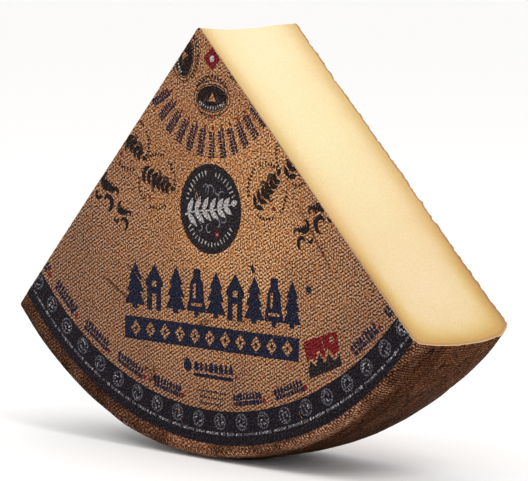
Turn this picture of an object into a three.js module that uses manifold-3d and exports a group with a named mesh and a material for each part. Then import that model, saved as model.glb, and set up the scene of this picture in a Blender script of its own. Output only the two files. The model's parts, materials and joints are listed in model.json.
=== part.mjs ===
// A quarter of a large hard cheese wheel, with the printed paper label that is glued on its front face.
// It stands on its rim with the cut tip up. Millimetres, +Z up, +X to the right, +Y towards the back face.
// The origin is on the surface it stands on, under the middle of its bounding box.

import * as THREE from "three";
import { mergeVertices } from "three/addons/utils/BufferGeometryUtils.js";
import Module from "manifold-3d";

// The whole wheel: its axis runs along Y, through the wheel's centre
const WHEEL_RADIUS = 299.2; // at the fullest part of the rim
const WHEEL_THICKNESS = 98;
const CROWN_DEPTH = 44; // where the rim is fullest, from the front face
const CROWN_CURVE = 0.0026; // fall of the rim per square millimetre away from the crown
const FRONT_SHOULDER = { depth: 4, drop: 4.4, rounded: true }; // it rolls into the front face
const BACK_SHOULDER = { depth: 16, drop: 6.4, rounded: false }; // it slumps to a crisp back edge

// The two cuts, in degrees from straight down, and the line where they meet
const LEFT_CUT = 42.63;
const RIGHT_CUT = 46.93;
const CUT_MEET = { x: -3.9, z: 22.4 }; // from the wheel's centre
const TIP_BLUNT = 3; // worn off the top of the tip

// The flat that the wedge has settled onto
const REST_DEPTH = 0.4; // pressed into the rim

// The paper label
const LABEL_RADIUS = 286.5;
const LABEL_CENTRE = { x: 11.3, z: 0.7 }; // from the wheel's centre
const LABEL_THICKNESS = 0.4;
const LABEL_GAP = 0.3; // the layer of glue behind it

const RIM_SEGMENTS = 240; // round the whole wheel
const CROWN_STEPS = 12;
const SHOULDER_STEPS = 5;

const degrees = THREE.MathUtils.degToRad;
const wasm = await Module();
wasm.setup();

// A closed three.js geometry as a solid.
function toSolid(geometry) {
  const bare = geometry.clone();
  bare.deleteAttribute("normal");
  bare.deleteAttribute("uv");
  const merged = mergeVertices(bare, 1e-4);
  return new wasm.Manifold(
    new wasm.Mesh({
      numProp: 3,
      vertProperties: merged.attributes.position.array,
      triVerts: new Uint32Array(merged.index.array),
    })
  );
}

// A solid as a named mesh with a material of its own.
function toMesh(name, solid, material) {
  const { vertProperties, triVerts } = solid.getMesh();
  const geometry = new THREE.BufferGeometry();
  geometry.setAttribute("position", new THREE.BufferAttribute(vertProperties, 3));
  geometry.setIndex(new THREE.BufferAttribute(triVerts, 1));
  geometry.computeVertexNormals();
  const mesh = new THREE.Mesh(geometry, new THREE.MeshStandardMaterial(material));
  mesh.name = name;
  return mesh;
}

// How far a rounded shoulder falls, from 0 where it starts to its full drop at the face.
function shoulderDrop(shoulder, past) {
  const t = THREE.MathUtils.clamp(past / shoulder.depth, 0, 1);
  return shoulder.drop * (shoulder.rounded ? 1 - Math.sqrt(1 - t * t) : t * t);
}

// The rim's radius at a depth behind the front face.
function rimRadius(depth) {
  const crown = CROWN_CURVE * (depth - CROWN_DEPTH) ** 2;
  const front = shoulderDrop(FRONT_SHOULDER, FRONT_SHOULDER.depth - depth);
  const back = shoulderDrop(BACK_SHOULDER, depth - (WHEEL_THICKNESS - BACK_SHOULDER.depth));
  return WHEEL_RADIUS - crown - front - back;
}

// The depths at which the rim's section has a point, closer together on the shoulders.
function rimDepths() {
  const backStart = WHEEL_THICKNESS - BACK_SHOULDER.depth;
  const depths = [];
  for (let i = 0; i < SHOULDER_STEPS; i++) {
    const turn = (Math.PI / 2) * (i / SHOULDER_STEPS);
    depths.push(FRONT_SHOULDER.depth * (1 - Math.cos(turn)));
  }
  for (let i = 0; i < CROWN_STEPS; i++) {
    depths.push(THREE.MathUtils.lerp(FRONT_SHOULDER.depth, backStart, i / CROWN_STEPS));
  }
  for (let i = 0; i <= SHOULDER_STEPS; i++) {
    const turn = (Math.PI / 2) * (i / SHOULDER_STEPS);
    depths.push(backStart + BACK_SHOULDER.depth * Math.sin(turn));
  }
  return depths;
}

// The whole wheel, turned about Y.
function wheel() {
  const section = rimDepths().map((depth) => new THREE.Vector2(rimRadius(depth), depth));
  section.unshift(new THREE.Vector2(0, 0));
  section.push(new THREE.Vector2(0, WHEEL_THICKNESS));
  return toSolid(new THREE.LatheGeometry(section, RIM_SEGMENTS));
}

// An upright prism between the two cuts, open below, that keeps what is inside the wedge.
function wedgePrism() {
  const reach = 3 * WHEEL_RADIUS;
  const meet = new THREE.Vector2(CUT_MEET.x, CUT_MEET.z);
  const along = (angle) => {
    const direction = new THREE.Vector2(Math.sin(angle), -Math.cos(angle));
    return meet.clone().addScaledVector(direction, reach);
  };
  const outline = [meet, along(-degrees(LEFT_CUT)), along(degrees(RIGHT_CUT))];
  const depth = 2 * WHEEL_THICKNESS;
  const prism = new THREE.ExtrudeGeometry(new THREE.Shape(outline), { depth, bevelEnabled: false });
  prism.rotateX(Math.PI / 2).translate(0, depth - WHEEL_THICKNESS / 2, 0);
  return toSolid(prism);
}

// Everything between the blunt tip and the flat below.
function heightSlab() {
  const top = CUT_MEET.z - TIP_BLUNT;
  const bottom = REST_DEPTH - WHEEL_RADIUS;
  const side = 3 * WHEEL_RADIUS;
  const slab = new THREE.BoxGeometry(side, side, top - bottom);
  slab.translate(0, 0, (top + bottom) / 2);
  return toSolid(slab);
}

// A round sheet that faces the front, with its back at LABEL_GAP in front of the face.
function frontDisc(radius, centre) {
  const disc = new THREE.CylinderGeometry(radius, radius, LABEL_THICKNESS, RIM_SEGMENTS);
  disc.translate(centre.x, -LABEL_GAP - LABEL_THICKNESS / 2, centre.z);
  return toSolid(disc);
}

const wedge = wedgePrism().intersect(heightSlab());
const cheeseSolid = wheel().intersect(wedge);

const cheese = toMesh("cheese_wedge", cheeseSolid, {
  color: 0xf6dfa4,
  roughness: 0.55,
  metalness: 0,
});

// The label goes no further out than the flat of the front face.
const flatOfFace = frontDisc(rimRadius(0), { x: 0, z: 0 });
const labelSolid = frontDisc(LABEL_RADIUS, LABEL_CENTRE).intersect(flatOfFace).intersect(wedge);

const label = toMesh("face_label", labelSolid, {
  color: 0x9a6d45,
  roughness: 0.85,
  metalness: 0,
});

// The wheel's centre is placed so that the box's bottom middle is at the origin.
const part = new THREE.Group();
part.add(cheese, label);
const box = new THREE.Box3().setFromObject(part);
const middle = box.getCenter(new THREE.Vector3());
part.position.set(-middle.x, -middle.y, -box.min.z);

export default part;
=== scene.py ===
import bmesh
import bpy
import itertools
import json
import math
import numpy as np
import random
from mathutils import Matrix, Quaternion, Vector, noise
from mathutils.geometry import delaunay_2d_cdt


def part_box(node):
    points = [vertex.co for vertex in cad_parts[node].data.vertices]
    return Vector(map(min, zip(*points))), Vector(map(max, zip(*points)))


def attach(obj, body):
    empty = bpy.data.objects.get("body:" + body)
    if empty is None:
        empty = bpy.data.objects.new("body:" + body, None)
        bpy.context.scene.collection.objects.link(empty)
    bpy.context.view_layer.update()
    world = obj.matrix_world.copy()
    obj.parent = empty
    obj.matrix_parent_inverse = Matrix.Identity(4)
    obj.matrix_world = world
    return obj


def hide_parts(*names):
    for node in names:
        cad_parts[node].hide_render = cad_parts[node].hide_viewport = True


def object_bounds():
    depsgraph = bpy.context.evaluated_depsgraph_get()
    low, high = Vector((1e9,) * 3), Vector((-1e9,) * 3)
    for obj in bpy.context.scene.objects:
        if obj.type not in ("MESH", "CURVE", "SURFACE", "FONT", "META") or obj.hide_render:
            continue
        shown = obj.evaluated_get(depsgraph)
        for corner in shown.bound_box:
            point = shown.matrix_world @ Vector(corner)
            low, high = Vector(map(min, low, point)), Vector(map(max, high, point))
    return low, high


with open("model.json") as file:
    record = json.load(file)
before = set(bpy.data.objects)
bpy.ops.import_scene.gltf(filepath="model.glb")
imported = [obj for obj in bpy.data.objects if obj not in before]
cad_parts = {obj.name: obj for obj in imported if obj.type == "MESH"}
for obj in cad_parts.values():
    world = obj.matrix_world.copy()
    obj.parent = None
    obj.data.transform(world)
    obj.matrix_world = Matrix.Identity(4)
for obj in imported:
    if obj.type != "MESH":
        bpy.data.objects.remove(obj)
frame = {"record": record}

cad_box = [list(corner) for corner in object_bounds()]


# ---- The studio ----------------------------------------------------------------------------------
# A white sweep of painted board under soft lamps, and the camera at eye height in front of the
# label, turned to take in the right-hand cut as well. None of it is part of the cheese.

AZIMUTH = math.radians(46.76)  # round to the right from straight in front
ELEVATION = math.radians(5.22)
ROLL = math.radians(0.67)
DISTANCE = 2.559  # metres
LENS = 240.85  # mm
SENSOR_WIDTH = 36  # mm
FAR_CLIP = 200  # metres
AIM = Vector((0.0626, -0.0490, 0.0089))  # from the middle of the part


def linear(colour):
    """An sRGB hex colour as the linear RGBA that a socket holds."""
    channels = [int(colour[i:i + 2], 16) / 255 for i in (1, 3, 5)]
    return [c / 12.92 if c < 0.04045 else ((c + 0.055) / 1.055) ** 2.4 for c in channels] + [1.0]


def add(tree, kind, inputs=(), output=0, stops=(), **settings):
    """Adds one shader node with its settings, colour stops and inputs, and gives an output."""
    made = tree.nodes.new("ShaderNode" + kind)
    for key, value in settings.items():
        setattr(made, key, value)
    for i, (position, colour) in enumerate(stops):
        elements = made.color_ramp.elements
        stop = elements[i] if i < 2 else elements.new(position)
        stop.position = position
        stop.color = linear(colour)
    for key, value in inputs.items() if isinstance(inputs, dict) else enumerate(inputs):
        if isinstance(value, bpy.types.NodeSocket):
            tree.links.new(value, made.inputs[key])
        elif value is not None:
            made.inputs[key].default_value = value
    return made.outputs[output]


def new_object(name, data):
    """A new object in the scene."""
    made = bpy.data.objects.new(name, data)
    bpy.context.scene.collection.objects.link(made)
    return made


def new_material(name):
    """A new material, its node tree and its shader."""
    made = bpy.data.materials.new(name)
    made.use_nodes = True
    return made, made.node_tree, made.node_tree.nodes["Principled BSDF"]


middle = (Vector(cad_box[0]) + Vector(cad_box[1])) / 2
to_camera = Vector((
    math.sin(AZIMUTH) * math.cos(ELEVATION),
    -math.cos(AZIMUTH) * math.cos(ELEVATION),
    math.sin(ELEVATION),
))
camera = new_object("camera", bpy.data.cameras.new("camera"))
camera.data.lens = LENS
camera.data.sensor_width = SENSOR_WIDTH
camera.data.clip_end = FAR_CLIP
camera.location = middle + AIM + to_camera * DISTANCE
camera.rotation_mode = "QUATERNION"
camera.rotation_quaternion = to_camera.to_track_quat("Z", "Y") @ Quaternion((0, 0, 1), ROLL)
bpy.context.scene.camera = camera

SWEEP_HALF = 40.0  # metres
SWEEP_WHITE = "#FBFAF9"
WORLD_WHITE = "#FFFFFF"

sweep = new_object("sweep", bpy.data.meshes.new("sweep"))
corners = [(x * SWEEP_HALF, y * SWEEP_HALF, 0) for x, y in ((-1, -1), (1, -1), (1, 1), (-1, 1))]
sweep.data.from_pydata(corners, [], [(0, 1, 2, 3)])
board, _, shader = new_material("painted board")
shader.inputs["Base Color"].default_value = linear(SWEEP_WHITE)
shader.inputs["Roughness"].default_value = 0.9
sweep.data.materials.append(board)

world = bpy.data.worlds.new("soft room")
bpy.context.scene.world = world
world.use_nodes = True
world.node_tree.nodes["Background"].inputs["Color"].default_value = linear(WORLD_WHITE)
world.node_tree.nodes["Background"].inputs["Strength"].default_value = 1.0
bpy.context.scene.view_settings.view_transform = "Standard"


def softbox(name, place, size, watts):
    """A square lamp at a place, measured from the part's middle, that faces the part."""
    lamp = new_object(name, bpy.data.lights.new(name, "AREA"))
    lamp.data.size = size
    lamp.data.energy = watts
    lamp.location = middle + Vector(place)
    lamp.rotation_mode = "QUATERNION"
    lamp.rotation_quaternion = Vector(place).to_track_quat("Z", "Y")


softbox("key from above right", (2.0, -0.5, 2.0), 0.9, 26)
softbox("lamp from above left", (-1.6, -1.3, 2.2), 0.7, 12)


# ---- The cheese ----------------------------------------------------------------------------------
# One block of hard pressed cheese, cut out of a big wheel with two straight strokes. Its outer skin
# dried and browned into a rind that carries the weave of the cloth it was pressed in, and the
# freshly cut paste is pale, smooth and a little waxy.

# Sizes are in mm. Points are x, depth and z, from the wheel's centre on its front face.
MM = 0.001
THICKNESS = 98.0
RADIUS = 299.2  # of the wheel, at the fullest part of the rim
CROWN_DEPTH = 44.0  # where the rim is fullest
CROWN_CURVE = 0.0026
FRONT_SHOULDER = (4.0, 4.4)  # its depth and drop; it rolls into the front face
BACK_SHOULDER = (16.0, 6.4)  # it slumps to a crisp back edge
REST_DEPTH = 0.4  # pressed flat where it stands
MEET = np.array([-3.9, 22.4])  # where the two cuts would meet
CUTS = [math.radians(-42.63), math.radians(46.93)]  # left and right, from straight down
TIP_WORN = 3.2  # where the blunt tip starts along each cut, in front
TIP_DIP = 4.5  # how much farther along it starts where the knife pressed on it
TIP_DIP_DEPTH = 76.0  # down to this depth
TIP_CRISP = 3.0  # how much less it is worn at the back
LABEL_CENTRE = (11.3, 0.7)  # the middle of the label's print
LABEL_RADIUS = 286.5
# Where the rim is fuller in front and where it sags behind: degrees round it, and how much
FULLER = ((-43, -1.2), (-30, -0.9), (-22, 0), (-17, 1.5), (4, 1.3), (9, 0))
SAG = ((5, 0), (10, 1.8), (18, 1.6), (29, 2.8), (36, 2.4), (41, 1.0), (47, 0))
# The weave of the cloth: its two steps from knot to knot
HEEL_STEPS = np.array([[2.6, 0.9], [0.0, 1.9]])
FACE_STEPS = np.array([[2.375, -1.542], [2.506, 1.389]])
# The steps of the mesh
RIM_NET = 1.4
FACE_NET = 1.6
HIDDEN_NET = 4.0  # under the label
CUT_NET = 2.0
TIP_STEPS = 6

# The wheel's centre, on the front face: above the middle of the flat that the wedge stands on.
rest = next(m for m in frame["record"]["mounts"] if m["name"] == "rim_rest")["pos_m"]
low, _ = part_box("cheese_wedge")
wheel_centre = Vector((rest[0], low.y, low.z + (RADIUS - REST_DEPTH) * MM))
along_cut = [np.array([math.sin(cut), -math.cos(cut)]) for cut in CUTS]
off_cut = [way * np.array([math.cos(cut), math.sin(cut)]) for way, cut in zip((-1, 1), CUTS)]


def rim_radius(depth):
    """The wheel's radius at a depth behind the front face."""
    crown = CROWN_CURVE * (np.asarray(depth) - CROWN_DEPTH) ** 2
    front = np.clip(1 - np.asarray(depth) / FRONT_SHOULDER[0], 0, 1)
    back = np.clip(1 - (THICKNESS - np.asarray(depth)) / BACK_SHOULDER[0], 0, 1)
    fall = FRONT_SHOULDER[1] * (1 - np.sqrt(1 - front**2)) + BACK_SHOULDER[1] * back**2
    return RADIUS - crown - fall


def cut_reach(side, radius, centre=(0, 0)):
    """How far along a cut a circle is met."""
    start = MEET - centre
    ahead = start @ along_cut[side]
    return -ahead + np.sqrt(ahead**2 - start @ start + np.asarray(radius) ** 2)


def tip_worn(depth):
    """How far along each cut the blunt tip starts, most where the knife pressed on it."""
    dip = TIP_DIP * np.sin(math.pi * np.clip(depth / TIP_DIP_DEPTH, 0, 1))
    return TIP_WORN + dip - TIP_CRISP * (depth / THICKNESS) ** 2


def tip_round(worn):
    """The rounded tip from the left cut to the right one, as an arc that is tangent to both."""
    half = (CUTS[1] - CUTS[0]) / 2
    bisector = (along_cut[0] + along_cut[1]) / (2 * math.cos(half))
    centre = MEET + bisector * worn / math.cos(half)
    turns = np.linspace(-math.pi / 2 - CUTS[0], math.pi / 2 - CUTS[1], TIP_STEPS + 1)
    return centre + worn * math.tan(half) * np.stack([np.sin(turns), np.cos(turns)], -1)


def fill(outline, inside, basis, shapes=()):
    """Triangulates an outline over an even net of points, cut along the shapes drawn on it.

    inside(points) says how far each net point is inside, and basis is the net's two steps. The
    result is the points, the triangles and, for each of them, the last shape over it, or -1.
    """
    low_corner, high_corner = outline.min(0), outline.max(0)
    box = np.array(list(itertools.product(*zip(low_corner, high_corner))))
    steps = box @ np.linalg.inv(basis)
    ranges = [np.arange(math.floor(s.min()), math.ceil(s.max()) + 1) for s in steps.T]
    net = np.stack(np.meshgrid(*ranges, indexing="ij"), -1).reshape(-1, 2) @ basis
    net = net[(net > low_corner).all(1) & (net < high_corner).all(1)]
    net = net[inside(net) > 0.55 * np.linalg.norm(basis[0])]
    rings = [outline, *shapes]
    ends = np.cumsum([len(net)] + [len(ring) for ring in rings])
    points = np.concatenate([net, *rings])
    faces = [list(range(a, b)) for a, b in zip(ends, ends[1:])]
    placed, _, triangles, sources, _, covers = delaunay_2d_cdt(
        [Vector(p) for p in points], [], faces, 1, 1e-5, True
    )
    source = np.array([min(ids) if ids else -1 for ids in sources])
    placed = np.array(placed, float).reshape(-1, 2)
    placed[source >= 0] = points[source[source >= 0]]
    kept = [i for i, cover in enumerate(covers) if 0 in cover]
    return placed, [tuple(triangles[i]) for i in kept], [max(covers[i]) - 1 for i in kept]


def even_net(spacing):
    """The two steps of a net of equal triangles."""
    return np.array([[spacing, 0], [spacing / 2, spacing * math.sqrt(3) / 2]])


def inside_wedge(points):
    """How far points on a face are inside the two cuts."""
    return np.minimum(*[-(points - MEET) @ off for off in off_cut])


def lumps(points, size, seed):
    """Smooth noise from about -1 to 1 at points in mm, with lumps about `size` mm apart."""
    shift = np.array([37.1, 11.7, 53.3]) * seed
    return np.array([noise.noise(Vector(p)) for p in points / size + shift])


def place(points):
    """Points in mm from the wheel's centre to metres in the row frame."""
    return np.asarray(points) * MM + np.array(wheel_centre)


def on_rim(points):
    """Distance round the rim and depth, in place of x, y and z."""
    around = np.arctan2(points[:, 0], -points[:, 2]) * RADIUS
    return np.stack([around, points[:, 1], np.zeros(len(points))], -1)


def knife_waves(points):
    """How far the knife strayed from each flat cut, as a push on the points near it."""
    push = np.zeros_like(points)
    for side in (0, 1):
        off = np.abs((points[:, [0, 2]] - MEET) @ off_cut[side])
        wave = 0.5 * lumps(points, 90, 7 + side) + 0.14 * lumps(points, 24, 9)
        wave += 0.04 * lumps(points, 7, 10) - 0.3
        # The back of the tip stands out a little
        along = (points[:, [0, 2]] - MEET) @ along_cut[side]
        wave += 0.6 * (points[:, 1] / THICKNESS) ** 2 * np.exp(-along / 22)
        push[:, [0, 2]] += (wave * np.exp(-off / 2))[:, None] * off_cut[side]
    return push


def weathered(points):
    """Moves points of the ideal wedge to its real, uneven surface."""
    x, y, z = points.T
    radius = np.hypot(x, z)
    flat = points[:, [0, 2]]
    off = [np.abs((flat - MEET) @ o) for o in off_cut]
    near_cut = np.minimum(*off)
    depths = np.stack([y, THICKNESS - y, rim_radius(y) - radius])
    near = np.exp(-np.maximum(depths, 0) / 3)
    outward = near[2] / np.maximum(radius, 1)
    normal = np.stack([outward * x, near[1] - near[0], outward * z], -1)
    normal /= np.maximum(np.linalg.norm(normal, axis=1), 1e-6)[:, None]
    height = 0.3 * lumps(points, 24, 1) + 0.22 * lumps(points, 9, 2) + 0.1 * lumps(points, 4, 3)
    # Creases of the press cloth run round the rim
    run = on_rim(points) * [1 / 40, 1 / 5, 1]
    crease = 1 - np.minimum(np.abs(lumps(run, 1, 4)) / 0.12, 1)
    height -= 0.55 * crease * near[2] * np.clip(lumps(run / 2.2, 1, 5) * 3, 0, 1)
    # The knife leaves the rind's edges ragged
    ragged = 0.9 * lumps(points, 9, 6) + 1.3 * lumps(points, 3.6, 11) + 0.9 * lumps(points, 2.1, 14)
    height += ragged * np.exp(-near_cut / 3) * (0.15 + 0.85 * near[1])
    height += 0.9 * near[1] + 0.9 * near[2] * np.clip(y / 20, 0, 1)
    # Under the label the face is smooth
    from_edge = LABEL_RADIUS - 0.5 - np.hypot(x - LABEL_CENTRE[0], z - LABEL_CENTRE[1])
    under = np.clip(from_edge / 2, 0, 1) * near[0]
    height = height * (1 - under) - 0.12 * under
    moved = points + normal * (height * near.max(0))[:, None] + knife_waves(points)
    # The wheel is a little out of round: fuller in front, sagging behind
    turn = np.degrees(np.arctan2(x, -z))
    fuller = np.interp(turn, *zip(*FULLER))
    sag = np.interp(turn, *zip(*SAG))
    stretch = fuller * np.exp(-((y / 30) ** 2)) - sag * np.clip((y - 20) / 20, 0, 1)
    stretch *= np.exp(-np.maximum(depths[2], 0) / 14) / np.maximum(radius, 1)
    moved[:, [0, 2]] += flat * stretch[:, None]
    moved[:, 2] = np.maximum(moved[:, 2], REST_DEPTH - RADIUS)
    return moved


# The rim: rows across its width, points from the left cut to the right one
fine = np.concatenate([
    FRONT_SHOULDER[0] * (1 - np.cos(np.linspace(0, math.pi / 2, 40))),
    np.linspace(FRONT_SHOULDER[0], THICKNESS - BACK_SHOULDER[0], 200)[1:-1],
    THICKNESS - BACK_SHOULDER[0] * (1 - np.sin(np.linspace(0, math.pi / 2, 80))),
])
fine_run = np.concatenate([[0], np.cumsum(np.hypot(np.diff(fine), np.diff(rim_radius(fine))))])
rows = np.interp(np.linspace(0, fine_run[-1], round(fine_run[-1] / RIM_NET) + 1), fine_run, fine)
rim = []
columns = round(RADIUS * (CUTS[1] - CUTS[0]) / RIM_NET)
for depth in rows:
    radius = float(rim_radius(depth))
    ends = [MEET + along_cut[side] * cut_reach(side, radius) for side in (0, 1)]
    turn = np.linspace(*[math.atan2(end[0], -end[1]) for end in ends], columns + 1)
    row = np.stack([radius * np.sin(turn), np.full(columns + 1, depth), -radius * np.cos(turn)], -1)
    row[[0, -1]] = [[end[0], depth, end[1]] for end in ends]
    rim.append(row)
rim = np.array(rim)

# The blunt tip: rows from the front face to the back
tip_rows = np.linspace(0, THICKNESS, round(THICKNESS / CUT_NET) + 1)
tip = np.array([
    [[x, depth, z] for x, z in tip_round(float(tip_worn(depth)))] for depth in tip_rows
])


def cut_edge(side, row):
    """Points down one edge between a flat face and a cut, from the tip to the rim."""
    tip_end = tip[row, [0, -1][side]][[0, 2]]
    rim_end = rim[row, [0, -1][side]][[0, 2]]
    count = round(np.linalg.norm(rim_end - tip_end) / FACE_NET)
    return np.linspace(tip_end, rim_end, count + 1)


body_points, body_faces, body_finish = [], [], []


def add_patch(points, faces, finish):
    """Adds one patch of the cheese's surface, with its material's number."""
    start = sum(len(p) for p in body_points)
    body_points.append(points)
    body_faces.extend(tuple(start + i for i in face) for face in faces)
    body_finish.extend([finish] * len(faces))


def grid_faces(rows_count, columns_count):
    """The quads of a grid of points."""
    return [
        (r * columns_count + c, r * columns_count + c + 1,
         (r + 1) * columns_count + c + 1, (r + 1) * columns_count + c)
        for r in range(rows_count - 1) for c in range(columns_count - 1)
    ]


RIND, PASTE = 0, 1
add_patch(rim.reshape(-1, 3), grid_faces(*rim.shape[:2]), RIND)
add_patch(tip.reshape(-1, 3), grid_faces(*tip.shape[:2]), PASTE)
for row, net in ((0, HIDDEN_NET), (-1, FACE_NET)):
    depth = rim[row, 0, 1]
    left, right = cut_edge(0, row), cut_edge(1, row)
    outline = np.concatenate([
        rim[row][:, [0, 2]], right[::-1][1:], tip[row][::-1][1:][:, [0, 2]], left[1:-1]
    ])
    reach = float(rim_radius(depth))

    def inside(points):
        """How far a net point is inside this face."""
        from_tip = (points - MEET) @ ((along_cut[0] + along_cut[1]) / 2)
        return np.minimum(
            np.minimum(inside_wedge(points), reach - np.hypot(*points.T)), from_tip - 5
        )

    flat, faces, _ = fill(outline, inside, even_net(net))
    add_patch(np.insert(flat, 1, depth, axis=1), faces, RIND)
for side in (0, 1):
    edge = [0, -1][side]
    column = rim[:, edge]

    def to_cut(points):
        """Distance along this cut and depth, in place of x, y and z."""
        return np.stack([(points[:, [0, 2]] - MEET) @ along_cut[side], points[:, 1]], -1)

    front = np.insert(cut_edge(side, 0), 1, 0, axis=1)
    back = np.insert(cut_edge(side, -1), 1, THICKNESS, axis=1)
    outline = to_cut(np.concatenate([front, column[1:], back[::-1][1:], tip[:, edge][::-1][1:-1]]))

    def inside(points):
        """How far a net point is inside this cut."""
        along, depth = points.T
        ends = cut_reach(side, rim_radius(depth)) - along, along - tip_worn(depth)
        return np.minimum(np.minimum(*ends), np.minimum(depth, THICKNESS - depth))

    flat, faces, _ = fill(outline, inside, even_net(CUT_NET))
    across = MEET + flat[:, :1] * along_cut[side]
    add_patch(np.stack([across[:, 0], flat[:, 1], across[:, 1]], -1), faces, PASTE)


def weave(points, steps):
    """Where points on a cloth are in its weave: whole numbers on the knots, two ways."""
    drift = np.stack([np.sin(points[:, 1] / 23 + 1), np.sin(points[:, 0] / 31 + 2)], -1)
    drift = drift + 0.5 * np.stack([np.sin(points[:, 1] / 9), np.sin(points[:, 0] / 11)], -1)
    return (points + 0.5 * drift) @ np.linalg.inv(steps)


def finish_mesh(name, points, faces, marks, face_marks):
    """A welded, smooth object from points in mm, with its point and face attributes."""
    data = bpy.data.meshes.new(name)
    data.from_pydata(place(points), [], faces)
    for key, values in marks.items():
        attribute = data.attributes.new(key, "FLOAT_VECTOR", "POINT")
        attribute.data.foreach_set("vector", values.ravel())
    for key, values in face_marks.items():
        data.attributes.new(key, "FLOAT", "FACE").data.foreach_set("value", values)
    net = bmesh.new()
    net.from_mesh(data)
    bmesh.ops.remove_doubles(net, verts=net.verts, dist=1e-6)
    bmesh.ops.dissolve_degenerate(net, edges=net.edges, dist=1e-7)
    unused = [point for point in net.verts if not point.link_faces]
    bmesh.ops.delete(net, geom=unused, context="VERTS")
    bmesh.ops.recalc_face_normals(net, faces=net.faces)
    net.to_mesh(data)
    net.free()
    data.shade_smooth()
    data.set_sharp_from_angle(angle=math.radians(55))
    return new_object(name, data)


body_points = np.concatenate(body_points)
x, y, z = body_points.T
radius = np.hypot(x, z)
depths = np.stack([y, THICKNESS - y, rim_radius(y) - radius], -1)
on_heel = (depths[:, 2] < depths[:, 0]) & (depths[:, 2] < depths[:, 1])
cloth = np.where(
    on_heel[:, None], weave(on_rim(body_points)[:, :2], HEEL_STEPS),
    weave(body_points[:, [0, 2]], FACE_STEPS),
)
cloth = np.insert(cloth, 2, on_heel, axis=1)
cheese = finish_mesh(
    "cheese_body", weathered(body_points), body_faces,
    {"depths": depths, "cloth": cloth, "ideal": body_points, "on_rim": on_rim(body_points)},
    {"finish": np.array(body_finish, float)},
)
finish_index = np.zeros(len(cheese.data.polygons))
cheese.data.attributes["finish"].data.foreach_get("value", finish_index)
cheese.data.polygons.foreach_set("material_index", finish_index.astype(int))

# Settings and sockets of a node that mixes two colours
MIX = {"data_type": "RGBA"}
MULTIPLY = {"data_type": "RGBA", "blend_type": "MULTIPLY"}
ADD = {"data_type": "RGBA", "blend_type": "ADD"}
SHARE, UNDER, OVER, MIXED = 0, 6, 7, 2


def woven_knots(tree, cloth, ideal, stray):
    """How high a surface is in its weave, from the knots to the gaps, with the threads a bit astray."""
    one_way = add(tree, "SeparateXYZ", (cloth,), "X")
    other_way = add(tree, "SeparateXYZ", (cloth,), "Y")
    shift = add(tree, "TexNoise", {"Vector": ideal, "Scale": 0.3, "Detail": 2.0}, "Fac")
    shift = add(tree, "Math", (shift, stray, -stray / 2), operation="MULTIPLY_ADD")
    knots = 0.0
    for one, other, weight in ((1, 0, 1.0), (0, 1, 0.6), (1, 1, 0.4)):
        phase = add(tree, "Math", (one_way, one * math.tau, shift), operation="MULTIPLY_ADD")
        phase = add(tree, "Math", (other_way, other * math.tau, phase), operation="MULTIPLY_ADD")
        wave = add(tree, "Math", (phase,), operation="COSINE")
        knots = add(tree, "Math", (wave, weight, knots), operation="MULTIPLY_ADD")
    return knots


def finish_shader(tree, shader, colour, roughness, specular, height, strength, distance):
    """Gives a shader its colour and gloss, and the relief of a height in its surface."""
    tree.links.new(colour, shader.inputs["Base Color"])
    shader.inputs["Roughness"].default_value = roughness
    shader.inputs["Specular IOR Level"].default_value = specular
    bump = add(tree, "Bump", {"Height": height, "Strength": strength, "Distance": distance})
    tree.links.new(bump, shader.inputs["Normal"])


rind, tree, shader = new_material("woven-print cheese rind")
cloth = add(tree, "Attribute", output="Vector", attribute_name="cloth")
ideal = add(tree, "Attribute", output="Vector", attribute_name="ideal")
heel = add(tree, "SeparateXYZ", (cloth,), "Z")
depth = add(tree, "SeparateXYZ", (ideal,), "Y")
knots = woven_knots(tree, cloth, ideal, 4.0)
grain = add(tree, "TexNoise", {"Vector": ideal, "Scale": 0.6, "Detail": 4.0, "Roughness": 0.7}, "Fac")
grain = add(tree, "Math", (grain, 2.6, -0.8), operation="MULTIPLY_ADD")
deep = add(tree, "Math", (heel, 0.12, 0.1), operation="MULTIPLY_ADD")
level = add(tree, "Math", (knots, deep, grain), operation="MULTIPLY_ADD")
# Paler knots, darker gaps: partly the rind's own grain, partly painted highlight and shade
colour = add(tree, "ValToRGB", (level,), stops=(
    (0.15, "#2C1610"), (0.4, "#6D3E28"), (0.6, "#A86D4C"), (0.85, "#EABA98"),
))
# The heel is darker, partly its own rind, partly painted shade where it faces down, with creases
# and streaks that run round it
dark = add(tree, "ValToRGB", (level,), stops=(
    (0.05, "#27110A"), (0.4, "#683D25"), (0.62, "#8F5D3C"), (0.95, "#CA9A70"),
))
round_rim = add(tree, "Attribute", output="Vector", attribute_name="on_rim")
streak = add(tree, "VectorMath", (round_rim, (0.035, 0.45, 0.0)), "Vector", operation="MULTIPLY")
streak = add(tree, "TexNoise", {"Vector": streak, "Scale": 1.0, "Detail": 4.0, "Roughness": 0.6}, "Fac")
streak = add(tree, "ValToRGB", (streak,), stops=(
    (0.32, "#8A7A72"), (0.42, "#CCC2BC"), (0.55, "#E0D8D4"), (0.68, "#FFFFFF"),
))
groove = add(tree, "VectorMath", (round_rim, (0.022, 0.11, 0.0)), "Vector", operation="MULTIPLY")
groove = add(tree, "TexNoise", {"Vector": groove, "Scale": 1.0, "Detail": 1.5}, "Fac")
groove = add(tree, "ValToRGB", (groove,), stops=(
    (0.44, "#FFFFFF"), (0.46, "#5A463E"), (0.48, "#FFFFFF"), (0.56, "#FFFFFF"), (0.575, "#4E3C34"),
    (0.59, "#FFFFFF"),
))
across = add(tree, "Math", (depth, 1 / THICKNESS), operation="MULTIPLY", use_clamp=True)
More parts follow.
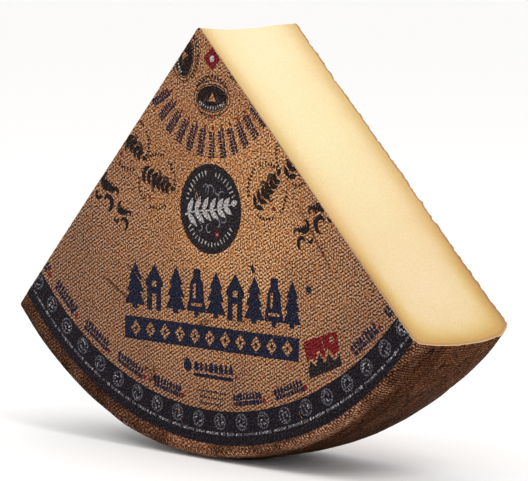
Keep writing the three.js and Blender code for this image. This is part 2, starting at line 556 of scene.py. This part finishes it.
across = add(tree, "ValToRGB", (across,), stops=(
    (0.0, "#FFFFFF"), (0.12, "#C8BEB8"), (0.18, "#E0D6D2"), (0.26, "#B8ACA5"), (0.33, "#F0E8E4"),
    (0.45, "#E4DEDA"), (0.62, "#D2C8C3"), (0.8, "#EAE4E2"), (1.0, "#E0D8D4"),
))
# The heel is paler towards the right-hand cut, and darker away from it
around = add(tree, "SeparateXYZ", (round_rim,), "X")
paler_to_right_cut = add(tree, "MapRange", (around, 140.0, 235.0, 0.68, 1.16))
for layer in (streak, groove, across, paler_to_right_cut):
    dark = add(tree, "Mix", {SHARE: 1.0, UNDER: dark, OVER: layer}, MIXED, **MULTIPLY)
# The front shoulder stays paler: partly rubbed, partly a painted highlight facing the front
bead = add(tree, "MapRange", (depth, 7.0, 14.0, 0.0, 1.0), interpolation_type="SMOOTHSTEP")
sides = add(tree, "Math", (bead, heel), operation="MULTIPLY", use_clamp=True)
colour = add(tree, "Mix", {SHARE: sides, UNDER: colour, OVER: dark}, MIXED, **MIX)
# The front half is duller towards the left-hand cut
dull = add(tree, "MapRange", (around, -100.0, -20.0, 0.4, 0.95))
on_front = add(tree, "Math", (depth, 40.0), operation="LESS_THAN")
dull = add(tree, "Mix", (on_front, None, 1.0, dull))
colour = add(tree, "Mix", {SHARE: 1.0, UNDER: colour, OVER: dull}, MIXED, **MULTIPLY)
# Dark patches, which are faint round the heel and on the back
patches = add(tree, "TexNoise", {"Vector": ideal, "Scale": 0.03, "Detail": 4.0}, "Fac")
patches = add(tree, "ValToRGB", (patches,), stops=((0.34, "#8C8078"), (0.58, "#FFFFFF")))
patchy = add(tree, "Math", (sides, -0.65, 1.0), operation="MULTIPLY_ADD")
on_back = add(tree, "Math", (depth, THICKNESS - 1), operation="GREATER_THAN")
patchy = add(tree, "Math", (on_back, -0.65, patchy), operation="MULTIPLY_ADD", use_clamp=True)
colour = add(tree, "Mix", {SHARE: patchy, UNDER: colour, OVER: patches}, MIXED, **MULTIPLY)
finish_shader(tree, shader, colour, 0.7, 0.02, level, 1.0, 0.0012)

paste, tree, shader = new_material("cut hard cheese")
depths = add(tree, "Attribute", output="Vector", attribute_name="depths")
ideal = add(tree, "Attribute", output="Vector", attribute_name="ideal")
# The paste darkens towards the rind on the front face, the back face and the heel
crust = 0.0
for side, weight in (("X", 1.0), ("Y", 1.4), ("Z", 1.0)):
    gap = add(tree, "SeparateXYZ", (depths,), side)
    gap = add(tree, "Math", (gap, 0.3), operation="MAXIMUM")
    gap = add(tree, "Math", (weight, gap), operation="DIVIDE")
    crust = add(tree, "Math", (crust, gap), operation="ADD")
mottle = add(tree, "TexNoise", {"Vector": ideal, "Scale": 0.04, "Detail": 5.0}, "Fac")
shift = add(tree, "Math", (mottle, 0.5, 0.75), operation="MULTIPLY_ADD")
crust = add(tree, "Math", (crust, shift), operation="MULTIPLY")
heel = add(tree, "SeparateXYZ", (depths,), "Z")
young = add(tree, "ValToRGB", (crust,), stops=(
    (0.04, "#E9E4C0"), (0.075, "#E8DCB2"), (0.11, "#E3D1A6"), (0.15, "#DDC795"), (0.22, "#D6BF88"),
    (0.36, "#D0B77A"), (1.0, "#CFAF7A"),
))
inward = add(tree, "Math", (heel, 1 / 320), operation="MULTIPLY", use_clamp=True)
tint = add(tree, "ValToRGB", (inward,), stops=(
    (0.1, "#EBD8C8"), (0.25, "#F1DFD2"), (0.45, "#F5E9DE"), (0.63, "#F8F1E6"), (0.82, "#FDF4EC"),
    (1.0, "#FFFAF9"),
))
young = add(tree, "Mix", {SHARE: 1.0, UNDER: young, OVER: tint}, MIXED, **MULTIPLY)
# Near the heel it is ripe, and darker still
crust = add(tree, "Math", (crust, 1.5), operation="MULTIPLY")
ripe = add(tree, "ValToRGB", (crust,), stops=(
    (0.10, "#DCC69E"), (0.16, "#D6BE90"), (0.2, "#D0B47C"), (0.26, "#C7A869"), (0.37, "#C19A58"),
    (0.57, "#B9934F"), (0.85, "#B08E52"), (1.0, "#AA7F4A"),
))
share = add(tree, "MapRange", (heel, 125.0, 45.0, 0.0, 1.0), interpolation_type="SMOOTHSTEP")
colour = add(tree, "Mix", {SHARE: share, UNDER: young, OVER: ripe}, MIXED, **MIX)
crystals = add(tree, "TexNoise", {"Vector": ideal, "Scale": 0.55, "Detail": 3.0, "Roughness": 0.6}, "Fac")
speckle = add(tree, "ValToRGB", (crystals,), stops=(
    (0.3, "#F2EEE7"), (0.5, "#F9F7F3"), (0.64, "#FBF9F5"), (0.72, "#FFFFFF"),
))
colour = add(tree, "Mix", {SHARE: 1.0, UNDER: colour, OVER: speckle}, MIXED, **MULTIPLY)
# The very edges: brown specks of rind behind, a pale line over the heel
skin = add(tree, "SeparateXYZ", (depths,), "Y")
skin = add(tree, "Math", (crystals, -2.4, skin), operation="MULTIPLY_ADD")
skin = add(tree, "MapRange", (skin, -0.4, 0.5, 0.9, 0.0))
colour = add(tree, "Mix", {SHARE: skin, UNDER: colour, OVER: linear("#96603A")}, MIXED, **MIX)
pale = add(tree, "MapRange", (heel, 0.2, 1.0, 0.5, 0.0))
colour = add(tree, "Mix", {SHARE: pale, UNDER: colour, OVER: linear("#E0BC98")}, MIXED, **MIX)
finish_shader(tree, shader, colour, 0.5, 0.35, crystals, 0.3, 0.0005)
shader.inputs["Subsurface Weight"].default_value = 0.1
shader.inputs["Subsurface Radius"].default_value = (0.002, 0.0014, 0.0008)
shader.inputs["Subsurface Scale"].default_value = 1.0

cheese.data.materials.append(rind)
cheese.data.materials.append(paste)
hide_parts("cheese_wedge")
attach(cheese, "root")


# ---- The label -----------------------------------------------------------------------------------
# A round sheet of brown label paper, pressed on to the whole wheel under the cloth, so that it took
# the weave, and cut through together with the cheese. It is printed in navy, black and red with
# mountain motifs and small lines of marks, and the ink is worn in spots.

# Places on the print are in mm from its middle, x to the right and z up to the tip
LABEL_REACH = 291.3  # from the wheel's centre, where the sheet bends over the shoulder
LABEL_FRONT = 0.55  # off the wheel's front face
LABEL_BACK = 0.04
LABEL_BACK_NET = 9.0
WEAVE_DEPTH = 0.2
INKS = (
    "#A87850", "#1D2542", "#2E2627", "#A0191E", "#F2ECEA",
    "#9A979F", "#2A190F", "#1C151D", "#4E4C58", "#5A3E2E",
)
PAPER, NAVY, BLACK, RED, PALE, GREY, BROWN, CHARCOAL, DIM, FADED = range(len(INKS))
TORN_PAPER = "#C9A884"  # its core, bared along the cuts
random.seed(7)
printed = []  # inks and shapes, each over the ones before it


def turned(points, degrees):
    """Turns points anticlockwise about the middle of the print."""
    a = math.radians(degrees)
    turn = np.array([[math.cos(a), math.sin(a)], [-math.sin(a), math.cos(a)]])
    return np.asarray(points, float) @ turn


def draw(ink, shape, move=(0, 0), turn=0.0):
    """Prints a shape, moved and then turned about the middle of the print."""
    shape = turned(np.asarray(shape, float) + move, turn)
    after = np.roll(shape, -1, axis=0)
    if (shape[:, 0] * after[:, 1] - after[:, 0] * shape[:, 1]).sum() < 0:
        shape = shape[::-1]
    printed.append((ink, shape))


def oval(across, up=None, steps=None):
    """An oval of these half widths round the origin."""
    up = up or across
    steps = steps or max(8, round(4.5 * max(across, up) ** 0.75))
    turns = np.arange(steps) * math.tau / steps
    return np.stack([across * np.cos(turns), up * np.sin(turns)], -1)


def block(width, height, lean=0.0):
    """A rectangle about the origin, or a leaning one."""
    w, h = width / 2, height / 2
    return np.array([(-w - lean, -h), (w - lean, -h), (w + lean, h), (-w + lean, h)])


def stroke(path, widths):
    """A band along a path, as wide as each width at its point."""
    path = np.asarray(path, float)
    along = np.gradient(path, axis=0)
    along /= np.linalg.norm(along, axis=1)[:, None]
    side = np.stack([-along[:, 1], along[:, 0]], -1) * np.reshape(widths, (-1, 1)) / 2
    return np.concatenate([path - side, (path + side)[::-1]])


def curl(t, centre, size, start, sweep, shrink):
    """A path that winds inwards round a centre, as t goes from 0 to 1."""
    turns = start + sweep * t
    return np.stack([np.cos(turns), np.sin(turns)], -1) * (size * (1 - shrink * t))[:, None] + centre


def leaf(base, end, width, steps=5):
    """A leaf from base to end."""
    t = np.linspace(0, 1, steps + 2)[:, None]
    path = np.asarray(base) * (1 - t) + np.asarray(end) * t
    return stroke(path, 0.25 + width * np.sin(math.pi * t**0.8))


def sprig(length, ink, move, turn, lift, thick, reach):
    """A leafy twig that rises to the right."""
    t = np.linspace(0, 1, 9)
    rise = (t - 0.5) * lift * length + 0.02 * length * np.sin(7 * t)
    stem = np.stack([(t - 0.5) * length, rise], -1)
    draw(ink, stroke(stem, np.linspace(0.03, 0.016, 9) * length), move, turn)
    for i, share in enumerate((0.06, 0.22, 0.38, 0.54, 0.70, 0.84)):
        base = np.array([np.interp(share, t, stem[:, 0]), np.interp(share, t, stem[:, 1])])
        for up in (1, -1):
            slope = math.radians(12 + up * (54 - 3 * i))
            end = base + length * (reach - 0.014 * i) * np.array([math.cos(slope), math.sin(slope)])
            draw(ink, leaf(base, end, thick * length), move, turn)
    draw(ink, leaf(stem[-1], stem[-1] + [0.13 * length, 0.05 * length], thick * length), move, turn)


FIR = np.array([
    (-0.13, 0), (0.13, 0), (0.13, 0.09), (0.52, 0.09), (0.26, 0.36), (0.45, 0.36), (0.21, 0.62),
    (0.35, 0.62), (0, 1), (-0.35, 0.62), (-0.21, 0.62), (-0.45, 0.36), (-0.26, 0.36), (-0.52, 0.09),
    (-0.13, 0.09),
])
HUT = np.array([
    (-0.44, 0), (0.44, 0), (0.44, 0.52), (0.54, 0.52), (0.54, 0.62), (0, 1), (-0.54, 0.62),
    (-0.54, 0.52), (-0.44, 0.52),
])
BELL = np.array([
    (-0.52, 0.09), (0.52, 0.09), (0.52, 0.2), (0.42, 0.34), (0.36, 0.68), (0.2, 0.82), (0.2, 1),
    (-0.2, 1), (-0.2, 0.82), (-0.36, 0.68), (-0.42, 0.34), (-0.52, 0.2),
])


def marks_row(count, length, height):
    """A row of little trees, huts and bells, like a line of print from afar."""
    pitch = length / count
    row = []
    for i in range(count):
        figure = random.choice((FIR, HUT, BELL, HUT))
        size = np.array([pitch * random.uniform(0.8, 1.0), height * random.uniform(0.9, 1.05)])
        row.append(figure * size + [(i + 0.5) * pitch - length / 2, -height / 2])
    return row


def small_line(length, height, spot, move, turn, quarter=0.0):
    """A line of navy figures over a line of dashes, with a red spot after them."""
    for shape in marks_row(9, length, height * 0.6):
        draw(NAVY, turned(shape + [0, height * 0.2], quarter), move, turn)
    x = -length * 0.47
    while x < length * 0.46:
        wide = length * random.uniform(0.05, 0.14)
        dash = block(wide, height * random.uniform(0.3, 0.38)) + [x + wide / 2, -height * 0.31]
        draw(NAVY, turned(dash, quarter), move, turn)
        x += wide + length * 0.015
    dot = block(*spot) + [length / 2 + spot[0] * 0.7, -height * 0.22]
    draw(RED, turned(dot, quarter), move, turn)


def ring_of_marks(ink, across, up, height, start, end, count, move, turn, fill_share):
    """Small upright marks set round part of an oval; angles from the right, anticlockwise."""
    for angle in np.linspace(start, end, count):
        a = math.radians(angle)
        spot = np.array([across * math.cos(a), up * math.sin(a)])
        pitch = math.radians(abs(end - start)) / max(count - 1, 1) * (across + up) / 2
        w, h = pitch * fill_share * random.uniform(0.8, 1.15), height * random.uniform(0.8, 1.05)
        shape = random.choice((
            block(w, h), block(w, h, w * 0.4), block(w, h, -w * 0.4), oval(w * 0.7, h * 0.4, 8),
            np.array([(-w, -h / 2), (w, -h / 2), (0, h / 2)]),
            np.array([(w, h / 2), (-w, h / 2), (0, -h / 2)]),
        ))
        face = math.degrees(math.atan2(across * math.sin(a), up * math.cos(a))) - 90
        draw(ink, turned(shape, face) + spot, move, turn)


# The middle: a red spot between four oval emblems, and a fan of short lines
draw(RED, turned(block(12.6, 12.6), 45), (-0.3, -2))
draw(PALE, oval(2.6), (-0.3, -2))
for turn in (0, 90, 180, 270):
    spot = (0, -31)
    for ink, across, up in (
        (BLACK, 20.0, 13.2), (PAPER, 19.2, 12.4), (BLACK, 17.6, 10.6), (PAPER, 16.7, 9.7),
        (BROWN, 16.2, 9.3),
    ):
        draw(ink, oval(across, up), spot, turn)
    peaks = ((-5.6, -1.0, 5.6, FADED), (5.8, -1.4, 5.2, FADED), (0.2, -0.6, 6.4, PAPER))
    for x, z, size, ink in peaks:
        foot = size * 0.62
        draw(ink, [(x - foot, z - 1.6), (x + foot, z - 1.6), (x, z + size * 0.78)], spot, turn)
    crescent = [(15.6 * math.cos(a), 9.3 * math.sin(a)) for a in np.linspace(-2.85, -0.29, 13)]
    crescent += [(14.4 * math.cos(a), 4.8 * math.sin(a)) for a in np.linspace(-0.45, -2.69, 13)]
    draw(BLACK, crescent, spot, turn)
    ring_of_marks(PALE, 14.2, 7.2, 2.6, -155, -25, 12, spot, turn, 0.5)
    ring_of_marks(BLACK, 19.0, 15.6, 3.4, 148, 32, 13, spot, turn, 0.6)
    for start in (-140, -78):
        ring_of_marks(BLACK, 17.8, 14.4, 2.0, start, start + 38, 6, spot, turn, 0.6)
    draw(RED, oval(1.6), (spot[0], spot[1] - 13.9), turn)
for turn in range(-60, 61, 10):
    small_line(20.2, 7.6, (3.4, 1.9), (0, -65.35), turn, 90)

# Leafy twigs in rings: the big black disc, and four plainer ones beside it
disc = (-0.3, -112.5)
draw(BLACK, oval(33.4, steps=72), disc)
for height, start, end, count in ((4.4, 166, 102, 9), (4.4, 78, 16, 9), (4.2, -148, -32, 16)):
    ring_of_marks(PALE, 26.4, 26.4, height, start, end, count, disc, 0, 0.26)
t = np.linspace(0, 1, 14)
for x, z, size, start, sweep in (
    (-9, -9, 6, 0.4, 4.2), (7, -11, 5, 2.4, -4.0), (0, 13, 6, 3.4, -4.4),
    (12, 9, 5, 1.0, 4.0), (-13, 8, 4, 2.2, 4.2), (-1, -15, 4.5, 1.2, 4.4), (15, -6, 4, 3.0, 4.2),
    (-15, -4, 4, 0.2, -4.2), (-6, 15, 4.5, 5.2, 4.0), (7, 14, 4, 0.6, -4.2), (-11, -14, 3.5, 3.8, 4.0),
):
    path = curl(t, (x, z), size, start, sweep, 0.6)
    draw(GREY, stroke(path, 0.35 + 0.85 * np.sin(math.pi * t)), disc)
sprig(50, PALE, (disc[0] - 2.6, disc[1] - 0.9), 0, lift=0.2, thick=0.092, reach=0.27)
draw(RED, turned(block(4.6, 4.6), 8), (7.3, -131))
draw(PALE, oval(0.9), (7.3, -131))
for turn in (-52.5, -32.2, 32.2, 52.5):
    spot = (0, -113)
    for x, z, size, start, sweep in ((3, -6, 8, 0.2, 4.4), (-3, 6, 7, 3.6, 4.4), (7, 5, 6, 5.2, 4.2)):
        path = curl(t, (x, z), size, start, sweep, 0.7)
        draw(FADED, stroke(path, 0.6 + 2.6 * np.sin(math.pi * t)), spot, turn)
    for height, start, end, count in (
        (3.2, 160, 100, 8), (3.2, 80, 20, 8), (3.0, -150, -104, 6), (3.0, -76, -30, 6),
    ):
        ring_of_marks(BROWN, 20.2, 20.2, height, start, end, count, spot, turn, 0.5)
    sprig(34, BROWN, (spot[0] - 1.6, spot[1]), turn, lift=0.24, thick=0.115, reach=0.28)
    draw(RED, turned(block(2.9, 2.9), 45), (spot[0], spot[1] - 14.5), turn)

# Larger curls on both sides, mirrored
t = np.linspace(0, 1, 15)
for turn, size in ((-47.3, 1.25), (-38.4, 0.95), (38.4, 0.95), (47.3, 1.25)):
    spot = (0, -159)
    stretch = [size if turn < 0 else -size, size]
    for x, z, radius, start, sweep, wide in (
        (-3.5, 5.0, 6.5, 2.6, 4.4, 2.6), (3.8, -4.0, 6.2, -0.6, 4.4, 2.6),
        (-5.0, -6.5, 3.6, 0.6, -4.2, 1.7), (5.5, 6.2, 3.4, 3.8, -4.2, 1.7),
    ):
        path = curl(t, (x, z), radius, start, sweep, 0.72) * stretch
        draw(BROWN, stroke(path, 1.2 * wide * size * (0.2 + np.sin(math.pi * t**0.7))), spot, turn)
    for i in range(5):
        base = np.array([-6.5 + 2.4 * i, -1.5 + 1.1 * i]) * stretch
        end = base + np.array([-2.5, 7.5 - 0.5 * i]) * stretch
        draw(BROWN, leaf(base, end, 2.6 * size), spot, turn)

# The frieze of fir trees, huts and bells, over a bar with lozenges left open
FRIEZE_FOOT = -193
FRIEZE_HEIGHT = 35
BAR = -208
LOZENGE_PITCH = 16.6
for centre, width, figure in (
    (-83.5, 22, FIR), (-62, 18, HUT), (-37.5, 22, FIR), (-14.5, 20, BELL), (6.5, 21, FIR),
    (27.5, 18, HUT), (48, 21, FIR), (69, 19, BELL), (88, 18, FIR),
):
    draw(NAVY, figure * [width, FRIEZE_HEIGHT], (centre, FRIEZE_FOOT))
    if figure is HUT:
        draw(PAPER, block(width * 0.26, 12.5), (centre, -186.8))
        draw(PAPER, block(width * 0.26, 4.5), (centre, -173))
    if figure is BELL:
        draw(PAPER, block(width * 0.6, 2.2), (centre, -184.6))
        draw(PAPER, block(width * 0.14, 11), (centre - 2.6, -174.5))
        draw(NAVY, oval(2.8), (centre, -191.2))
draw(NAVY, turned(block(3.4, 6), 30), (46, -153.5))
for turn in (0, 45, 90, 135):
    draw(NAVY, turned(leaf((-4.6, 0), (4.6, 0), 1.5, 4), turn), (105, -163))
draw(NAVY, block(190.5, 17), (0.25, BAR))
for i in range(11):
    spot = (-82.5 + LOZENGE_PITCH * i, BAR)
    draw(PAPER, [(-5.6, 0), (0, -6.2), (5.6, 0), (0, 6.2)], spot)
    draw(NAVY, [(-1.8, 0), (0, -2.1), (1.8, 0), (0, 2.1)], spot)

# The small line under it, the three shortest, and the row of little lines above the band
draw(NAVY, oval(4.6), (-23.5, -230.5))
draw(NAVY, turned(block(5, 1.6), 25), (-25.5, -226.5))
for shape in marks_row(8, 43, 8.0):
    draw(NAVY, shape, (5, -229.8))
draw(NAVY, block(43, 2.6), (5, -236.6))
draw(RED, oval(1.2), (29.8, -234.5))
for row, (start, end) in enumerate(((-13, 17), (-10, 14), (-9, 12))):
    x = start
    while x < end:
        wide = random.uniform(0.9, 2.6)
        draw(BLACK, block(wide, 1.5), (x + wide / 2, -248 - 4.4 * row))
        x += wide + 0.7
for turn in (-50.4, -40.6, -30.5, -20.5, -10.5, 9.5, 19.7, 39.9, 49.9):
    small_line(31, 9.8, (3.4, 3.2), (0, -252.3), turn)

# The red panel with dark hills
panel = np.array([(100.1, -201.4), (133.6, -190.4), (140.0, -214.4), (107.6, -227.4)])


def on_panel(across, down):
    """A point of the panel, from its top left corner."""
    top = panel[0] + (panel[1] - panel[0]) * across
    foot = panel[3] + (panel[2] - panel[3]) * across
    return top + (foot - top) * down


draw(RED, panel)
hills = [
    (0, 0.62), (0.12, 0.42), (0.24, 0.6), (0.38, 0.3), (0.52, 0.62), (0.66, 0.38), (0.82, 0.66),
    (1, 0.5),
]
draw(PAPER, [on_panel(*p) for p in hills] + [on_panel(1, 0.8), on_panel(0, 0.85)])
draw(BLACK, [on_panel(a, d + 0.14) for a, d in hills] + [on_panel(1, 1), on_panel(0, 1)])
draw(PAPER, oval(2.6), on_panel(0.83, 0.2))

# The black band, with a rosette every five degrees and one long line of tiny marks
BAND_INSIDE = 261.4
BAND_OUTSIDE = 300  # past the edge of the sheet
LINE_TURN = 0.206  # degrees for each mm along the line of marks
turns = np.radians(np.linspace(-62, 62, 249))
rays = np.stack([np.sin(turns), -np.cos(turns)], -1)
draw(CHARCOAL, np.concatenate([BAND_INSIDE * rays, BAND_OUTSIDE * rays[::-1]]))
for i in range(-1, 22):
    turn = -47.34 + 5.0 * i
    spot = (0, -269.2)
    draw(DIM, oval(6.5, steps=18), spot, turn)
    ring_of_marks(GREY, 5.6, 5.6, 1.2, 0, 340, 16, spot, turn, 0.4)
    draw(CHARCOAL, oval(4.7, steps=14), spot, turn)
    for petal in range(11):
        bend = math.radians(petal * 33 + random.uniform(-15, 15))
        base = random.uniform(1.2, 3.6) * np.array([math.cos(bend), math.sin(bend)])
        lean = bend + random.uniform(0.6, 1.6)
        end = base + random.uniform(1.8, 3.0) * np.array([math.cos(lean), math.sin(lean)])
        draw(random.choice((GREY, GREY, GREY, PALE)), leaf(base, end, 0.8, 3), spot, turn)
along = -50.0
while along < 52:
    for _ in range(random.randint(3, 11)):
        wide = random.uniform(0.5, 1.2)
        along += (wide / 2 + 0.3) * LINE_TURN
        shape = block(wide, random.uniform(1.4, 2.5), random.uniform(-0.2, 0.2))
        draw(random.choice((GREY, GREY, PALE)), shape, (0, -278.2), along)
        along += (wide / 2 + 0.3) * LINE_TURN
    along += 0.35

# Scratches that bared the paper
for start, end in (
    ((-88, -162), (-66, -184)), ((-20, -96), (-3, -120)), ((52, -172), (63, -190)),
    ((118, -196), (127, -216)), ((-36, -262), (-28, -276)), ((96, -252), (104, -262)),
):
    draw(PAPER, leaf(start, end, 0.3, 4))

# The sheet: its edge follows the two cuts, the blunt tip and its own round outline
print_centre = np.array(LABEL_CENTRE)
ends = []
for side in (0, 1):
    reach = min(cut_reach(side, LABEL_RADIUS, print_centre), cut_reach(side, LABEL_REACH))
    ends.append(MEET + along_cut[side] * reach - print_centre)
turns = np.linspace(*[math.atan2(end[0], -end[1]) for end in ends], 330)
rays = np.stack([np.sin(turns), -np.cos(turns)], -1)
ahead = rays @ print_centre
to_rim = -ahead + np.sqrt(ahead**2 - print_centre @ print_centre + LABEL_REACH**2)
outline = rays * np.minimum(LABEL_RADIUS, to_rim)[:, None]
tip_edge = tip_round(float(tip_worn(0))) - print_centre
right = np.linspace(ends[1], tip_edge[-1], 300)[1:]
left = np.linspace(tip_edge[0], ends[0], 300)[:-1]
outline = np.concatenate([outline, right, tip_edge[::-1][1:], left[1:]])


def inside_label(points):
    """How far points on the label are inside its edge."""
    on_face = points + print_centre
    arc = np.minimum(LABEL_RADIUS - np.hypot(*points.T), LABEL_REACH - np.hypot(*on_face.T))
    from_tip = (on_face - MEET) @ ((along_cut[0] + along_cut[1]) / 2)
    return np.minimum(np.minimum(inside_wedge(on_face), arc), from_tip - 4)


FOLDS = [  # from where to where, how high and how wide
    ((-70, -238), (-56, -246), 1.7, 1.5), ((-66, -247), (-61, -236), 1.0, 1.3),
    ((-2, -195.5), (-10, -199), 1.4, 1.1), ((-96, -159), (-70, -172), 0.35, 0.6),
    ((93, -104), (130, -150), 0.5, 0.8), ((-120, -172), (-84, -190), 0.4, 1.0),
]


def sheet(points, lift):
    """Points on the label, lifted off the cheese, in mm from the wheel's centre."""
    on_face = points + print_centre
    radius = np.hypot(*on_face.T)
    # The sheet follows the shoulder of the rim, and leans out with it
    depth = np.linspace(0, 3, 200)
    bend = np.interp(radius, rim_radius(depth), depth)
    lean = np.gradient(depth, rim_radius(depth))
    lean = np.interp(radius, rim_radius(depth), lean)
    out = on_face / radius[:, None] * lean[:, None]
    normal = np.insert(out, 1, -1, axis=1) / np.sqrt(1 + lean**2)[:, None]
    flat = np.insert(on_face, 1, bend, axis=1)
    return flat + normal * np.reshape(lift, (-1, 1)) + knife_waves(flat)


def fold_lift(points):
    """How far folds in the sheet stand up."""
    lift = np.zeros(len(points))
    for start, end, height, width in FOLDS:
        start, run = np.array(start), np.subtract(end, start)
        share = np.clip((points - start) @ run / (run @ run), 0, 1)
        gap = np.linalg.norm(points - start - share[:, None] * run, axis=1)
        lift += height * np.exp(-((gap / width) ** 2)) * np.sin(math.pi * (0.12 + 0.76 * share))
    return lift


flat, faces, shapes = fill(outline, inside_label, FACE_STEPS / 3, [ring for _, ring in printed])
phase = weave(flat + print_centre, FACE_STEPS) * math.tau
relief = 0.5 * np.cos(phase[:, 0]) + 0.3 * np.cos(phase[:, 1]) + 0.2 * np.cos(phase.sum(1))
on_sheet = np.insert(flat, 1, 0, axis=1)
rough = lumps(on_sheet, 1.7, 12)
uneven = lumps(on_sheet, 30, 13)
relief = WEAVE_DEPTH * (relief + 0.6 * rough) + 0.1 * uneven
front = sheet(flat, LABEL_FRONT + relief + fold_lift(flat))
ink = np.array([PAPER if shape < 0 else printed[shape][0] for shape in shapes])
# The border: the sides that only one triangle has, in order
sides = dict.fromkeys((a, b) for face in faces for a, b in zip(face, face[1:] + face[:1]))
following = {a: b for a, b in sides if (b, a) not in sides}
border = [next(iter(following))]
while following[border[-1]] != border[0]:
    border.append(following[border[-1]])
edge = flat[border]
under, under_faces, _ = fill(edge, inside_label, even_net(LABEL_BACK_NET))
back = sheet(under, LABEL_BACK)
wall = np.concatenate([front[border], sheet(edge, LABEL_BACK)])
count = len(border)
wall_faces = [(i, (i + 1) % count, (i + 1) % count + count, i + count) for i in range(count)]
label_faces = list(faces)
label_faces += [tuple(i + len(front) for i in face) for face in under_faces]
label_faces += [tuple(i + len(front) + len(back) for i in face) for face in wall_faces]
flat = np.concatenate([flat, under, edge, edge])
cloth = np.insert(weave(flat + print_centre, FACE_STEPS), 2, inside_wedge(flat + print_centre), axis=1)
ink = np.concatenate([ink, np.full(len(under_faces) + count, PAPER)]).astype(float)
label = finish_mesh(
    "label_sheet", np.concatenate([front, back, wall]), label_faces,
    {"cloth": cloth, "ideal": np.insert(flat, 1, fold_lift(flat), axis=1)}, {"ink": ink},
)

printed_paper, tree, shader = new_material("printed label paper")
cloth = add(tree, "Attribute", output="Vector", attribute_name="cloth")
ideal = add(tree, "Attribute", output="Vector", attribute_name="ideal")
ink = add(tree, "Attribute", output="Fac", attribute_name="ink")
from_cut = add(tree, "SeparateXYZ", (cloth,), "Z")
knots = woven_knots(tree, cloth, ideal, 2.4)
# The weave is faint near the tip
away = add(tree, "VectorMath", (ideal, (0, 0, -60)), "Value", operation="DISTANCE")
deep = add(tree, "MapRange", (away, 40.0, 130.0, 0.08, 0.24))
grain = add(tree, "TexNoise", {"Vector": ideal, "Scale": 0.75, "Detail": 3.0, "Roughness": 0.7}, "Fac")
grain = add(tree, "Math", (grain, 4.5, -1.75), operation="MULTIPLY_ADD")
level = add(tree, "Math", (knots, deep, grain), operation="MULTIPLY_ADD")
# Paler knots, darker gaps: painted highlight and shade of the weave, over the paper's grain
shade = add(tree, "ValToRGB", (level,), stops=(
    (0.05, "#2B140C"), (0.3, "#7A4626"), (0.5, "#D28548"), (0.7, "#FFBB71"), (0.95, "#FFF0CC"),
))
# The paper is golden and brighter in the middle: partly a painted pool of light, partly paper that
# has aged to a duller brown away from there
coarse = add(tree, "TexNoise", {"Vector": ideal, "Scale": 0.02, "Detail": 5.0}, "Fac")
gold = add(tree, "VectorMath", (ideal, (28, 0, -112)), "Value", operation="DISTANCE")
gold = add(tree, "Math", (gold, 1 / 250), operation="MULTIPLY")
gold = add(tree, "Math", (coarse, 0.48, gold), operation="MULTIPLY_ADD")
aged_and_lit = add(tree, "ValToRGB", (gold,), stops=(
    (0.44, "#FCF1EC"), (0.56, "#E1D3D3"), (0.69, "#DED2D6"), (0.83, "#CBBFC9"), (0.96, "#C0B5C2"),
))
# The folds are darker where the sheet rises into them, as painted shade, but plain on high ridges
fold_shade = add(tree, "SeparateXYZ", (ideal,), "Y")
fold_shade = add(tree, "ValToRGB", (fold_shade,), stops=(
    (0.02, "#FFFFFF"), (0.2, "#C0ABA0"), (0.55, "#94786A"), (0.95, "#FFFFFF"),
))
for layer in (aged_and_lit, fold_shade):
    shade = add(tree, "Mix", {SHARE: 1.0, UNDER: shade, OVER: layer}, MIXED, **MULTIPLY)
# The inks, worn in spots
inks = add(tree, "Math", (ink, 0.5), operation="ADD")
inks = add(tree, "Math", (inks, 1 / len(INKS)), operation="MULTIPLY")
stops = [(i / len(INKS), ink_colour) for i, ink_colour in enumerate(INKS)]
inks = add(tree, "ValToRGB", (inks,), stops=stops)
inks.node.color_ramp.interpolation = "CONSTANT"
is_ink = add(tree, "Math", (ink, 0.5), operation="GREATER_THAN")
worn = add(tree, "Math", (grain, -2.0, 3.3), operation="MULTIPLY_ADD", use_clamp=True)
cover = add(tree, "Math", (is_ink, worn), operation="MULTIPLY")
# Painted light and shade of the weave on the inks, and painted glints on bright grains
relit = add(tree, "ValToRGB", (level,), stops=((0.1, "#707070"), (0.5, "#C4C4C4"), (0.9, "#FFFFFF")))
inks = add(tree, "Mix", {SHARE: 1.0, UNDER: inks, OVER: relit}, MIXED, **MULTIPLY)
glint = add(tree, "ValToRGB", (grain,), stops=((0.5, "#000000"), (1.0, "#39323A")))
inks = add(tree, "Mix", {SHARE: 1.0, UNDER: inks, OVER: glint}, MIXED, **ADD)
colour = add(tree, "Mix", {SHARE: cover, UNDER: shade, OVER: inks}, MIXED, **MIX)
# The torn edge along the cuts
torn = add(tree, "Math", (grain, 0.8, 0.1), operation="MULTIPLY_ADD")
torn = add(tree, "Math", (from_cut, torn), operation="LESS_THAN")
colour = add(tree, "Mix", {SHARE: torn, UNDER: colour, OVER: linear(TORN_PAPER)}, MIXED, **MIX)
finish_shader(tree, shader, colour, 0.6, 0.06, level, 1.0, 0.0009)

label.data.materials.append(printed_paper)
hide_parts("face_label")
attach(label, "root")
